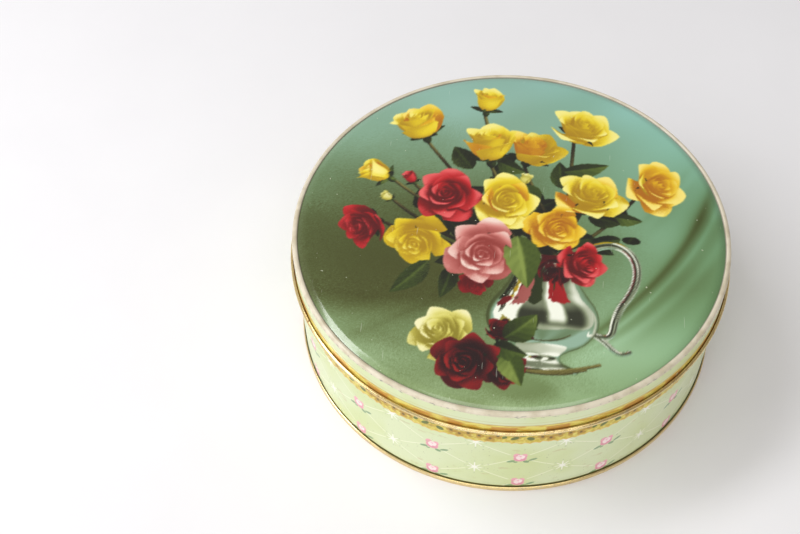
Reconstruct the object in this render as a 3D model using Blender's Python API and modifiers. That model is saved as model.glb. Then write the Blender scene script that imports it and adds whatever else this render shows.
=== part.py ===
"""A round slip-lid tin of printed tinplate, at its real size.

The tin is three pressings. The lid is one drawn shell: a raised picture panel, a bevel
down to a crease, a rounded shoulder, a skirt and an outward curl. The wall is a strip
rolled into a ring and locked by a side seam at the back. Its top edge is curled inwards
and its bottom edge is hooked outwards. The base is a recessed disc whose rim is rolled
around that hook as a double seam.

+Z is up and the front faces -Y. The origin is at the centre of the base, on the surface
that the tin stands on. Lengths are in millimetres until they become Blender's metres.
"""
import math

import bmesh
import bpy

MM = 0.001
TURN_STEPS = 60
MERGE_DISTANCE = 0.01 * MM

# Sheet metal. Each profile follows the middle of its sheet.
SHEET = 0.30
GAP = 0.30
HALF_SHEET = SHEET / 2
LAYER = SHEET + GAP

# Whole tin
TIN_DIAMETER = 230.0
TIN_HEIGHT = 75.6
CURL_RADIUS = 1.0

# Lid
LID_DEPTH = 17.05
LID_CLEARANCE = 0.5
SKIRT_R = TIN_DIAMETER / 2 - HALF_SHEET - 2 * CURL_RADIUS
SHOULDER_RADIUS = 1.5
SHOULDER_DROP = 2.1
CREASE_ANGLE = 150.0
BEVEL_RUN = 4.4
LID_CURL_END = 460.0

# Wall
WALL_R = SKIRT_R - SHEET - LID_CLEARANCE
WALL_HEIGHT = 73.75
HOOK_TOP = 2.2
SEAM_STRIP_WIDTH = 5.0
SEAM_STRIP_DEPTH = 0.6
SEAM_STRIP_BOTTOM = 4.8
SEAM_STRIP_TOP = 70.8

# Base and the double seam that holds it
CHUCK_R = WALL_R - LAYER
HOOK_R = WALL_R + LAYER
SEAM_R = HOOK_R + LAYER
SEAM_HEIGHT = 3.15
SEAM_LIP_RADIUS = 0.5
SEAM_CORNER_RADIUS = 0.35
BASE_LEVEL = 3.2
BASE_CORNER_RADIUS = 0.7
BASE_STEP_R = 104.0
BASE_STEP_RUN = 1.5
BASE_STEP_RISE = 0.85

# Colours as linear red, green, blue
PRINTED_GREEN = (0.26, 0.44, 0.33)
PALE_GREEN = (0.64, 0.71, 0.44)
GOLD_LACQUER = (0.66, 0.43, 0.16)


def arc(centre, radius, start, end, pieces):
    """Points on a circle from the start angle to the end angle, in degrees."""
    points = []
    for index in range(pieces + 1):
        angle = math.radians(start + (end - start) * index / pieces)
        points.append((centre[0] + radius * math.cos(angle), centre[1] + radius * math.sin(angle)))
    return points


def lid_profile():
    """The lid from the centre of its panel to the end of its curl, above its lower edge."""
    panel_level = LID_DEPTH - HALF_SHEET
    shoulder_centre = (SKIRT_R - SHOULDER_RADIUS, panel_level - SHOULDER_DROP)
    shoulder = arc(shoulder_centre, SHOULDER_RADIUS, CREASE_ANGLE, 0, 5)
    crease_r, crease_level = shoulder[0]

    # The bevel leaves the flat panel tangentially and ends in the crease.
    bevel_drop = panel_level - crease_level
    bevel_turn = 2 * math.atan(bevel_drop / BEVEL_RUN)
    bevel_radius = BEVEL_RUN / math.sin(bevel_turn)
    bevel_centre = (crease_r - BEVEL_RUN, panel_level - bevel_radius)
    bevel = arc(bevel_centre, bevel_radius, 90, 90 - math.degrees(bevel_turn), 4)

    curl_centre = (SKIRT_R + CURL_RADIUS, CURL_RADIUS + HALF_SHEET)
    curl = arc(curl_centre, CURL_RADIUS, 180, LID_CURL_END, 8)
    return [(0, panel_level)] + bevel[:-1] + shoulder + curl


def wall_profile():
    """The wall from the end of its inward curl, over the rim and down to its hook."""
    rim_centre = (WALL_R - CURL_RADIUS, WALL_HEIGHT - HALF_SHEET - CURL_RADIUS)
    rim = arc(rim_centre, CURL_RADIUS, 270, 0, 6)
    fold_radius = LAYER / 2
    fold_level = SHEET + GAP + HALF_SHEET + fold_radius
    fold = arc((WALL_R + fold_radius, fold_level), fold_radius, 180, 360, 3)
    return rim + fold + [(HOOK_R, HOOK_TOP)]


def base_profile():
    """The base from the lip of its seam, down and under the hook, to its centre."""
    lip_centre = (SEAM_R - SEAM_LIP_RADIUS, SEAM_HEIGHT - HALF_SHEET - SEAM_LIP_RADIUS)
    lip = arc(lip_centre, SEAM_LIP_RADIUS, 90, 0, 2)
    corner_level = HALF_SHEET + SEAM_CORNER_RADIUS
    outer = arc((SEAM_R - SEAM_CORNER_RADIUS, corner_level), SEAM_CORNER_RADIUS, 0, -90, 2)
    inner = arc((CHUCK_R + SEAM_CORNER_RADIUS, corner_level), SEAM_CORNER_RADIUS, -90, -180, 2)
    recess_centre = (CHUCK_R - BASE_CORNER_RADIUS, BASE_LEVEL - BASE_CORNER_RADIUS)
    recess = arc(recess_centre, BASE_CORNER_RADIUS, 0, 90, 2)
    step_top = BASE_LEVEL + BASE_STEP_RISE
    step = [(BASE_STEP_R, BASE_LEVEL), (BASE_STEP_R - BASE_STEP_RUN, step_top)]
    return lip + outer + inner + recess + step + [(0, step_top)]


def new_collection(name):
    collection = bpy.data.collections.new(name)
    bpy.context.scene.collection.children.link(collection)
    return collection


def new_material(name, colour, roughness, metallic):
    material = bpy.data.materials.new(name)
    material.use_nodes = True
    shader = material.node_tree.nodes["Principled BSDF"]
    shader.inputs["Base Color"].default_value = (*colour, 1)
    shader.inputs["Roughness"].default_value = roughness
    shader.inputs["Metallic"].default_value = metallic
    return material


def turned_sheet(name, profile, collection, material):
    """A sheet-metal pressing: a profile turned about Z and given the sheet's thickness."""
    vertices = [(r * MM, 0, level * MM) for r, level in profile]
    edges = [(index, index + 1) for index in range(len(vertices) - 1)]
    mesh = bpy.data.meshes.new(name)
    mesh.from_pydata(vertices, edges, [])
    mesh.materials.append(material)
    piece = bpy.data.objects.new(name, mesh)
    collection.objects.link(piece)

    turn = piece.modifiers.new("turn", "SCREW")
    turn.axis = "Z"
    turn.steps = TURN_STEPS
    turn.render_steps = TURN_STEPS
    turn.use_merge_vertices = True
    turn.merge_threshold = MERGE_DISTANCE
    turn.use_smooth_shade = True

    sheet = piece.modifiers.new("sheet", "SOLIDIFY")
    sheet.thickness = SHEET * MM
    sheet.offset = 0
    sheet.use_even_offset = True
    return piece


def add_side_seam(wall, cutters):
    """Join the folded side seam, which stands proud inside the wall at the back."""
    mesh = bpy.data.meshes.new("side_seam")
    shape = bmesh.new()
    bmesh.ops.create_cube(shape, size=1)
    height = SEAM_STRIP_TOP - SEAM_STRIP_BOTTOM
    bmesh.ops.scale(shape, vec=(SEAM_STRIP_WIDTH * MM, SEAM_STRIP_DEPTH * MM, height * MM),
                    verts=shape.verts)
    shape.to_mesh(mesh)
    shape.free()

    strip = bpy.data.objects.new("side_seam", mesh)
    middle = (SEAM_STRIP_BOTTOM + SEAM_STRIP_TOP) / 2
    strip.location = (0, (WALL_R - SEAM_STRIP_DEPTH / 2) * MM, middle * MM)
    strip.hide_render = True
    strip.display_type = "WIRE"
    cutters.objects.link(strip)

    union = wall.modifiers.new("side_seam", "BOOLEAN")
    union.operation = "UNION"
    union.object = strip


def build():
    for old in list(bpy.data.objects):
        bpy.data.objects.remove(old, do_unlink=True)
    parts = new_collection("lithographed_tin")
    cutters = new_collection("joined_shapes")

    printed_lid = new_material("printed_lid", PRINTED_GREEN, 0.28, 0.0)
    printed_wall = new_material("printed_wall", PALE_GREEN, 0.34, 0.0)
    gold_lacquer = new_material("gold_lacquer", GOLD_LACQUER, 0.32, 1.0)

    wall = turned_sheet("body_wall", wall_profile(), parts, printed_wall)
    add_side_seam(wall, cutters)
    turned_sheet("base_disc", base_profile(), parts, gold_lacquer)
    lid = turned_sheet("lid_shell", lid_profile(), parts, printed_lid)
    lid.location = (0, 0, (TIN_HEIGHT - LID_DEPTH) * MM)


build()
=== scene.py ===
"""Looks for the printed slip-lid tin: its tinplate, its print, its wear and its studio."""
import math

import bmesh
import bpy
import numpy as np
from mathutils import Matrix, Vector
from mathutils.bvhtree import BVHTree

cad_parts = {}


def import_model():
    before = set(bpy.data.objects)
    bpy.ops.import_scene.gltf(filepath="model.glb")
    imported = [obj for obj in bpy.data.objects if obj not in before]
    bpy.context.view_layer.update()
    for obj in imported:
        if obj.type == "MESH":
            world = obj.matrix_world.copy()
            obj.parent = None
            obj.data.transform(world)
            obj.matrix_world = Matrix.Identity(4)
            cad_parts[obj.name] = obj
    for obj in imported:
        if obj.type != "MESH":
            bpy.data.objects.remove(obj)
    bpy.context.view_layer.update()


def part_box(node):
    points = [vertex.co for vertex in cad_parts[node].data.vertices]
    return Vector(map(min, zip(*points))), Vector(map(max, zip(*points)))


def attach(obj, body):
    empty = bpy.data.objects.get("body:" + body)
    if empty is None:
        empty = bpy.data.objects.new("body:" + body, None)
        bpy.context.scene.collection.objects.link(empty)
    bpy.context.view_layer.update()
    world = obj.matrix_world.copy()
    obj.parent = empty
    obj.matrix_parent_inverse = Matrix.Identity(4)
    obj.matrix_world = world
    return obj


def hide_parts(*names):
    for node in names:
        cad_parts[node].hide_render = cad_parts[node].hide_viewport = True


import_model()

MM = 0.001

# The tin's own sizes in millimetres, read from the frame.
LID_LOW, LID_HIGH = (Vector(corner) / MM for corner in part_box("lid_shell"))
WALL_LOW, WALL_HIGH = (Vector(corner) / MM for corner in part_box("body_wall"))
BASE_LOW, BASE_HIGH = (Vector(corner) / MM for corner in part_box("base_disc"))

SHEET = 0.30
HALF_SHEET = SHEET / 2
LAYER = 2 * SHEET
CURL_RADIUS = 1.0
SKIRT_R = LID_HIGH.x - HALF_SHEET - 2 * CURL_RADIUS
SHOULDER_RADIUS = 1.5
SHOULDER_DROP = 2.1
CREASE_ANGLE = 150.0
BEVEL_RUN = 4.4
LID_CURL_END = 460.0
PRINT_SKIN = 0.05
HOOK_R = WALL_HIGH.x - HALF_SHEET
HOOK_TOP = 2.2
WALL_R = HOOK_R - LAYER
SEAM_STRIP_BOTTOM = 4.8
SEAM_STRIP_TOP = 70.8
SEAM_STRIP_EDGE = 2.6
CHUCK_R = WALL_R - LAYER
SEAM_R = BASE_HIGH.x - HALF_SHEET
SEAM_TOP = 3.15
SEAM_LIP_RADIUS = 0.5
SEAM_CORNER_RADIUS = 0.35
BASE_LEVEL = 3.2
BASE_CORNER_RADIUS = 0.7
BASE_PANEL_LEVEL = 4.05

TURN_STEPS = 320
SIDE_SEAM_AT = math.pi / 2
SEAM_GROOVE = 2.4


# ---- material building
class Field:
    """A number that varies over a surface, with arithmetic that adds Math nodes."""

    def __init__(self, paint, socket):
        self.paint = paint
        self.socket = socket

    def __add__(self, other):
        return self.paint.math("ADD", self, other)

    def __sub__(self, other):
        return self.paint.math("SUBTRACT", self, other)

    def __rsub__(self, other):
        return self.paint.math("SUBTRACT", other, self)

    def __mul__(self, other):
        return self.paint.math("MULTIPLY", self, other)

    def __truediv__(self, other):
        return self.paint.math("DIVIDE", self, other)

    def __abs__(self):
        return self.paint.math("ABSOLUTE", self)

    __radd__ = __add__
    __rmul__ = __mul__


class Paint:
    """A material whose colour, roughness and bump are built up from fields."""

    def __init__(self, name):
        self.material = bpy.data.materials.new(name)
        self.material.use_nodes = True
        self.tree = self.material.node_tree
        self.shader = self.tree.nodes["Principled BSDF"]
        self.place = self.tree.nodes.new("ShaderNodeTexCoord").outputs["Object"]
        split = self.tree.nodes.new("ShaderNodeSeparateXYZ")
        self.tree.links.new(self.place, split.inputs[0])
        self.x, self.y, self.z = (Field(self, socket) * 1000 for socket in split.outputs)

    def feed(self, slot, value):
        if isinstance(value, Field):
            self.tree.links.new(value.socket, slot)
        elif isinstance(value, tuple) and len(value) == 3 and slot.type == "RGBA":
            slot.default_value = (*value, 1)
        else:
            slot.default_value = value

    def math(self, operation, *values):
        node = self.tree.nodes.new("ShaderNodeMath")
        node.operation = operation
        for slot, value in zip(node.inputs, values):
            self.feed(slot, value)
        return Field(self, node.outputs[0])

    def step(self, low, high, value):
        """0 below low, 1 above high, and smooth between them. low may be above high."""
        node = self.tree.nodes.new("ShaderNodeMapRange")
        node.interpolation_type = "SMOOTHSTEP"
        self.feed(node.inputs["Value"], value)
        self.feed(node.inputs["From Min"], min(low, high))
        self.feed(node.inputs["From Max"], max(low, high))
        self.feed(node.inputs["To Min"], 0.0 if low < high else 1.0)
        self.feed(node.inputs["To Max"], 1.0 if low < high else 0.0)
        return Field(self, node.outputs["Result"])

    def noise(self, size, detail=2.0, stretch=(1, 1, 1), shift=0.0):
        """Smooth noise from 0 to 1 whose features are about size millimetres across."""
        mapping = self.tree.nodes.new("ShaderNodeMapping")
        self.tree.links.new(self.place, mapping.inputs["Vector"])
        mapping.inputs["Location"].default_value = (shift, shift, shift)
        mapping.inputs["Scale"].default_value = stretch
        node = self.tree.nodes.new("ShaderNodeTexNoise")
        self.tree.links.new(mapping.outputs[0], node.inputs["Vector"])
        node.inputs["Scale"].default_value = 1000 / size
        node.inputs["Detail"].default_value = detail
        return Field(self, node.outputs["Fac"])

    def attribute(self, name):
        node = self.tree.nodes.new("ShaderNodeAttribute")
        node.attribute_name = name
        return Field(self, node.outputs["Color"])

    def over(self, below, above, mask):
        """The colour above laid on the colour below where mask is 1."""
        node = self.tree.nodes.new("ShaderNodeMix")
        node.data_type = "RGBA"
        self.feed(node.inputs["Factor"], mask)
        self.feed(node.inputs[6], below)
        self.feed(node.inputs[7], above)
        return Field(self, node.outputs[2])

    def set(self, **sockets):
        """Constants and fields for the shader's sockets, named with _ for each space."""
        for name, value in sockets.items():
            self.feed(self.shader.inputs[name.replace("_", " ").title()], value)

    def bump(self, height, depth):
        """Raises the surface by height times depth, in millimetres."""
        node = self.tree.nodes.new("ShaderNodeBump")
        node.inputs["Distance"].default_value = depth * MM
        self.feed(node.inputs["Height"], height)
        self.tree.links.new(node.outputs["Normal"], self.shader.inputs["Normal"])


def colour(text):
    """A linear colour from six hexadecimal digits of display red, green and blue."""
    display = [int(text[at:at + 2], 16) / 255 for at in (0, 2, 4)]
    return tuple(linear(np.array(display)).tolist())


def linear(display):
    return np.where(display < 0.04045, display / 12.92, ((display + 0.055) / 1.055) ** 2.4)


# ---- materials
GOLD = colour("ecd7a0")
GOLD_DEEP = colour("d6b878")
TARNISH = colour("94641f")
RUST = colour("6b3d12")
GROUND = colour("d6dfb6")
GROUND_WARM = colour("cdd79c")
GROUND_GRAIN = colour("bcc78c")
STAIN = colour("b9a66a")
SPECK = colour("7b7350")
TRELLIS = colour("eef0d6")
STAR = colour("f7f6ea")
STAR_DOT = colour("a8b598")
ROSE = colour("eba7b3")
ROSE_DEEP = colour("dc8fa1")
ROSE_LIGHT = colour("fbe6e4")
SMALL_LEAF = colour("6f9466")
BAND_GOLD = colour("c9b02c")
BAND_PALE = colour("e2d46a")
BAND_BROWN = colour("ad851c")
BAND_DEEP = colour("cda53c")
BAND_PATCH = colour("c1803a")
BAND_LINE = colour("b98a3c")
BORDER_LEAF = colour("46601a")
BORDER_FLOWER = colour("b0800f")
BORDER_HEART = colour("64500c")
EDGE_LINE = colour("dfb04a")
PRINTED_LINE_AND_SEAM_SHADE = colour("757031")
SEAM_MARGIN = colour("cfc9a4")
SEAM_LINE = colour("6a5a3a")
CREAM = colour("dcd2bd")
CREAM_DULL = colour("c6baa0")
SCUFF = colour("8d8a80")
HAIRLINE = colour("c3bd84")
CREASE_SHADE = colour("6f6b62")
LACQUER = colour("dac38b")
LACQUER_DULL = colour("c7ab6e")
LACQUER_STAIN = colour("a88c58")
LACQUER_PALE = colour("e0cc98")
BARE_TIN = colour("bdb8a9")
INK_GRAIN_LIGHT = colour("e8e6cf")
INK_GRAIN_DARK = colour("1d2413")
SCRATCH = colour("e9ecdc")
CHIP = colour("dfe4c8")
BOARD = colour("f3f2f6")
BOARD_DULL = colour("eeedf1")

# The wall's lattice repeats in columns of this many millimetres of arc and in rows.
LATTICE_COLUMNS = 32
LATTICE_TURN = 6.9
LATTICE_BOTTOM = 8.2
LATTICE_PITCH = 12.6
BORDER_EDGE = 47.6
SKIRT_BAND = 65.2
NECK = 58.0


def ellipse(paint, right, up, centre, size, lean=0.0, soft=0.15):
    """A mask of a soft-edged ellipse in the flat coordinates right and up."""
    cos, sin = math.cos(lean), math.sin(lean)
    across = right - centre[0]
    above = up - centre[1]
    along = (across * cos + above * sin) / size[0]
    aside = (above * cos - across * sin) / size[1]
    return paint.step(1 + soft, 1 - soft, along * along + aside * aside)


def dabs(paint, base, tint, strength, right, up, marks, soft, within=1.0):
    """Ellipses of one tint laid on base. Each mark is its centre, its size and its lean."""
    for centre, size, lean in marks:
        mask = ellipse(paint, right, up, centre, size, lean, soft) * within
        base = paint.over(base, tint, mask * strength)
    return base


def lattice(paint, turn):
    """The wall's diamond lattice: off its lines, and right and up from its nearest knot.

    Also 1 where that knot carries a star, and 0 where it carries a rose.
    """
    arc_mm = 2 * math.pi * WALL_R / LATTICE_COLUMNS
    a = (turn - LATTICE_TURN) * (LATTICE_COLUMNS / 360)
    b = (paint.z - LATTICE_BOTTOM) / LATTICE_PITCH
    s = (a + b) * 0.5
    t = (a - b) * 0.5
    near_s = paint.math("ROUND", s)
    near_t = paint.math("ROUND", t)
    slope = math.hypot(0.5 / arc_mm, 0.5 / LATTICE_PITCH)
    off_line = paint.math("MINIMUM", abs(s - near_s), abs(t - near_t)) / slope
    right = (a - near_s - near_t) * arc_mm
    up = (b - near_s + near_t) * LATTICE_PITCH
    return off_line, right, up, paint.math("PINGPONG", near_s + near_t, 1.0)


def star_mask(paint, right, up):
    """Eight tapering rays, with a dot beyond each."""
    radius = paint.math("SQRT", right * right + up * up * 0.72)
    spoke = paint.math("SINE", paint.math("ARCTAN2", up, right) * 4.0)
    off_ray = abs(spoke) * radius * 0.25
    rays = paint.step(0.50, 0.20, off_ray + radius * 0.035) * paint.step(4.3, 3.6, radius)
    dots = paint.step(0.45, 0.20, off_ray) * paint.step(0.40, 0.15, abs(radius - 5.0))
    return rays, dots


def small_rose(paint, base, right, up, is_rose):
    """A pink rose seen from the side, on four leaves."""
    leaves = (((-4.3, -3.9), (2.2, 0.95), 0.35), ((3.2, -4.3), (1.6, 1.1), -0.25),
              ((6.4, -2.3), (2.4, 0.85), 0.45), ((-2.0, -4.6), (1.1, 0.6), 0.2))
    folds = (((-2.5, -0.4), (0.7, 2.2), 0.25), ((2.7, -0.4), (0.6, 2.1), -0.3),
             ((0.4, 3.0), (1.9, 0.5), -0.15), ((-1.0, 1.4), (0.4, 1.3), 0.5))
    lights = (((-0.7, -0.4), (1.2, 1.9), 0.35), ((1.4, 0.3), (0.9, 1.7), -0.3),
              ((0.1, 2.1), (1.4, 0.6), 0.1))
    base = dabs(paint, base, SMALL_LEAF, 0.85, right, up, leaves, 0.25, is_rose)
    bowl = ellipse(paint, right, up, (0.1, -1.0), (3.3, 2.9))
    crown = ellipse(paint, right, up, (-1.4, 1.7), (1.9, 2.3), 0.3)
    crown = paint.math("MAXIMUM", crown, ellipse(paint, right, up, (1.9, 1.5), (1.6, 2.2), -0.4))
    whole = paint.math("MAXIMUM", bowl, crown) * is_rose
    base = paint.over(base, ROSE, whole)
    shade = ellipse(paint, right, up, (0, -2.6), (2.9, 1.2), 0.0, 0.5) * whole
    base = paint.over(base, ROSE_DEEP, shade * 0.8)
    base = dabs(paint, base, ROSE_DEEP, 0.55, right, up, folds, 0.4, whole)
    return dabs(paint, base, ROSE_LIGHT, 0.9, right, up, lights, 0.4, whole)


def wall_print():
    """The wall's outer face: ground, trellis, roses, stars and the gold border."""
    paint = Paint("wall_print")
    turn = paint.math("ARCTAN2", paint.x, paint.y * -1) * (180 / math.pi)
    off_line, right, up, is_star = lattice(paint, turn)
    base = paint.over(GROUND, GROUND_WARM, paint.step(0.35, 0.75, paint.noise(30, 2)))
    grain = paint.noise(0.5, 1)
    base = paint.over(base, GROUND_GRAIN, paint.step(0.5, 0.9, grain) * 0.25)
    knot = paint.math("SQRT", right * right + up * up)
    drawn = paint.step(0.45, 0.18, off_line) * paint.step(4.8, 5.8, knot)
    base = paint.over(base, TRELLIS, drawn * 0.75)
    rays, dots = star_mask(paint, right, up)
    base = paint.over(base, STAR, rays * is_star * 0.9)
    base = paint.over(base, STAR_DOT, dots * is_star * 0.6)
    base = small_rose(paint, base, right, up, 1.0 - is_star)
    base = gold_border(paint, base, turn)
    # A dark olive band on the wall's lowest 4 mm, just above the base seam: partly a printed
    # line, partly painted shade of the gap above the seam.
    base = paint.over(base, PRINTED_LINE_AND_SEAM_SHADE, paint.step(4.1, 3.7, paint.z))
    seam_mm = paint.math("ARCTAN2", paint.x, paint.y) * WALL_R
    base = paint.over(base, SEAM_MARGIN, paint.step(2.3, 2.0, abs(seam_mm + 1.4)))
    base = paint.over(base, SEAM_LINE, paint.step(0.35, 0.10, abs(seam_mm + SEAM_GROOVE)) * 0.8)

    stain = paint.step(0.63, 0.72, paint.noise(9, 3, (1, 1, 2.5), 3.0))
    base = paint.over(base, STAIN, stain * 0.35)
    specks = paint.step(0.735, 0.76, paint.noise(1.1, 1, shift=7.0))
    base = paint.over(base, SPECK, specks * 0.55)

    neck = paint.step(NECK - 0.2, NECK + 0.2, paint.z)
    rubbed = paint.step(0.50, 0.75, paint.noise(3.0, 3, (1, 1, 0.12), 5.0))
    base = paint.over(base, paint.over(LACQUER_PALE, BARE_TIN, rubbed * 0.55), neck)
    paint.set(base_color=base, metallic=neck * 0.85,
              roughness=0.26 + paint.noise(14, 3) * 0.16 + rubbed * neck * 0.12)
    paint.bump(paint.noise(0.7, 2), 0.012)
    return paint.material


def gold_border(paint, base, turn):
    """The printed band under the lid's edge: a garland on gold with a ragged lower edge."""
    wave = paint.math("SINE", turn * (math.pi / 180 * 80))
    slow = paint.math("SINE", turn * (math.pi / 180 * 32) + 0.8)
    ragged = paint.noise(3.0, 2, shift=11.0) * 2.4
    above = paint.z - (BORDER_EDGE - 1.2 + abs(wave) * 0.9 + slow * 0.4 + ragged)
    gold = paint.over(BAND_GOLD, BAND_PALE, paint.step(0.35, 0.7, paint.noise(2.2, 2)))
    streaks = paint.noise(3.5, 2, (1, 1, 1.6), 2.0)
    gold = paint.over(gold, BAND_BROWN, paint.step(0.52, 0.70, streaks) * 0.65)
    base = paint.over(base, gold, paint.step(-0.2, 0.2, above))
    base = paint.over(base, EDGE_LINE, paint.step(0.5, 0.2, abs(above)) * 0.75)

    pitch = 2 * math.pi * WALL_R * 2 / LATTICE_COLUMNS
    cell = (turn - LATTICE_TURN) * (LATTICE_COLUMNS / 720)
    right = (cell - paint.math("ROUND", cell)) * pitch
    up = paint.z - BORDER_EDGE - 4.2
    leaves = (((-3.4, 0.6), (2.3, 1.3), 0.6), ((4.2, 0.0), (2.0, 1.5), -0.5),
              ((0.6, 2.8), (1.7, 0.9), 0.2), ((-8.4, 1.2), (1.5, 1.1), 0.8))
    base = dabs(paint, base, BORDER_LEAF, 0.9, right, up, leaves, 0.35)
    middles = [(-20.5, 1.0), (-15.2, -0.4), (-11.6, 2.2), (9.8, 1.2), (13.9, -0.3), (18.2, 1.6)]
    for number, (across, level) in enumerate(middles):
        angles = [math.pi / 2 * petal + number for petal in range(4)]
        petals = [((across + 1.2 * math.cos(angle), level + 1.5 * math.sin(angle)),
                   (1.5, 1.2), angle) for angle in angles]
        base = dabs(paint, base, BORDER_FLOWER, 0.75, right, up, petals, 0.6)
        heart = [((across, level), (0.8, 0.9), 0.0)]
        base = dabs(paint, base, BORDER_HEART, 0.9, right, up, heart, 0.4)
    return base


def rim_print():
    """The lid's outside below the picture: cream shoulder, pale skirt and gold band."""
    paint = Paint("lid_rim_print")
    turn = paint.math("ARCTAN2", paint.x, paint.y * -1)
    out = paint.math("SQRT", paint.x * paint.x + paint.y * paint.y)
    fade = paint.noise(25, 2)
    base = paint.over(GROUND, GROUND_WARM, paint.step(0.35, 0.7, fade))
    hair = paint.step(0.3, 0.1, abs(paint.z - SKIRT_BAND - 2.6))
    base = paint.over(base, HAIRLINE, hair * 0.6)
    base = skirt_band(paint, base, turn)

    cream_edge = LID_HIGH.z - 2.4 + (fade - 0.5) * 0.6
    cream = paint.over(CREAM, CREAM_DULL, paint.step(0.4, 0.7, paint.noise(8, 3, shift=5.0)))
    base = paint.over(base, cream, paint.step(-0.3, 0.3, paint.z - cream_edge))
    worn = paint.step(1.5, 0.3, abs(paint.z - cream_edge))
    streak = paint.step(0.58, 0.66, paint.noise(2.6, 3, (1, 1, 3), 9.0))
    base = paint.over(base, SCUFF, streak * worn * 0.85)
    crease = paint.step(SKIRT_R - 2.25, SKIRT_R - 2.50, out)
    base = paint.over(base, CREASE_SHADE, crease * 0.7)
    paint.set(base_color=base, roughness=0.24 + paint.noise(10, 3) * 0.18)
    paint.bump(paint.noise(0.8, 2), 0.012)
    return paint.material


def skirt_band(paint, base, turn):
    """The gold band above the lid's curl, with a pale line on top and brown patches."""
    streaks = paint.step(0.40, 0.62, paint.noise(6, 2, (1, 1, 4)))
    gold = paint.over(BAND_PALE, BAND_DEEP, streaks)
    wave = paint.math("SINE", turn * 32.0) + paint.math("SINE", turn * 23.0 + 1.0)
    patch = paint.step(-0.2, 0.5, wave + paint.noise(2.5, 2, shift=6.0) - 0.5)
    low = paint.step(SKIRT_BAND - 1.0, SKIRT_BAND - 1.5, paint.z)
    gold = paint.over(gold, BAND_PATCH, patch * low * 0.75)
    gap = paint.step(0.70, 0.74, paint.noise(5, 1, (1, 1, 0.4), 13.0))
    gold = paint.over(gold, GROUND, gap * low)
    base = paint.over(base, gold, paint.step(SKIRT_BAND + 0.15, SKIRT_BAND - 0.15, paint.z))
    line = paint.step(0.35, 0.15, abs(paint.z - SKIRT_BAND - 0.3))
    return paint.over(base, BAND_LINE, line * 0.7)


def gilt(name, worn, patch):
    """Gold lacquer over tin, rubbed bare, tarnished in patches and rusty where it is worn."""
    paint = Paint(name)
    rolled = paint.noise(0.6, 2, (1, 0.03, 1))
    base = paint.over(GOLD, GOLD_DEEP, paint.step(0.3, 0.7, rolled) * 0.5)
    rubbed = paint.step(0.60, 0.68, paint.noise(3, 3, (1, 0.2, 1), 21.0))
    base = paint.over(base, BARE_TIN, rubbed * 0.45)
    tarnish = paint.step(0.48, 0.74, paint.noise(patch, 3, (1, 1, 1), 4.0))
    base = paint.over(base, TARNISH, tarnish * (0.06 + worn * 0.5))
    rust = paint.step(0.63, 0.71, paint.noise(3.5, 3, shift=8.0)) * worn
    base = paint.over(base, RUST, rust)
    paint.set(base_color=base, metallic=0.85 - rust * 0.7,
              roughness=0.14 + tarnish * 0.16 + rust * 0.4)
    paint.bump(paint.noise(4, 2), 0.01 + 0.02 * worn)
    return paint.material


def lacquer():
    """The inside: thin gold lacquer on bare tinplate, with the faint lines of rolling."""
    paint = Paint("inside_lacquer")
    rolled = paint.noise(0.6, 2, (1, 0.03, 1))
    base = paint.over(LACQUER, LACQUER_DULL, paint.step(0.3, 0.7, rolled) * 0.5)
    stained = paint.step(0.6, 0.75, paint.noise(18, 4))
    base = paint.over(base, LACQUER_STAIN, stained * 0.35)
    paint.set(base_color=base, metallic=0.9, roughness=0.30 + rolled * 0.14)
    paint.bump(rolled, 0.006)
    return paint.material


def picture_print():
    """The lid's picture: the ink colour of each point, under a glossy, scratched varnish."""
    paint = Paint("lid_picture_print")
    ink = paint.attribute("ink")
    grain = paint.noise(0.45, 1)
    base = paint.over(ink, INK_GRAIN_LIGHT, paint.step(0.60, 0.95, grain) * 0.08)
    base = paint.over(base, INK_GRAIN_DARK, paint.step(0.45, 0.05, grain) * 0.16)
    scratch = paint.step(0.770, 0.780, paint.noise(1.2, 1, (1, 0.07, 1), 2.0))
    base = paint.over(base, SCRATCH, scratch * 0.15)
    chips = paint.step(0.800, 0.810, paint.noise(1.8, 1, shift=12.0))
    base = paint.over(base, CHIP, chips * 0.6)
    paint.set(base_color=base, roughness=0.12 + paint.noise(30, 3) * 0.08 + scratch * 0.2)
    paint.set(coat_weight=0.5, coat_roughness=0.09)
    paint.bump(paint.noise(1.2, 2), 0.006)
    return paint.material


# ---- turned sheet metal
def arc(centre, radius, start, end, pieces):
    """Points on a circle from the start angle to the end angle, in degrees."""
    angles = np.radians(np.linspace(start, end, pieces + 1))
    return np.stack([centre[0] + radius * np.cos(angles), centre[1] + radius * np.sin(angles)], 1)


def line(start, end, pieces):
    return np.linspace(start, end, pieces + 1)


def sheet_sides(path):
    """The two faces of a sheet whose middle follows the path."""
    along = np.gradient(path, axis=0)
    along /= np.linalg.norm(along, axis=1, keepdims=True)
    aside = np.stack([along[:, 1], -along[:, 0]], 1) * HALF_SHEET
    return path - aside, path + aside


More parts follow.
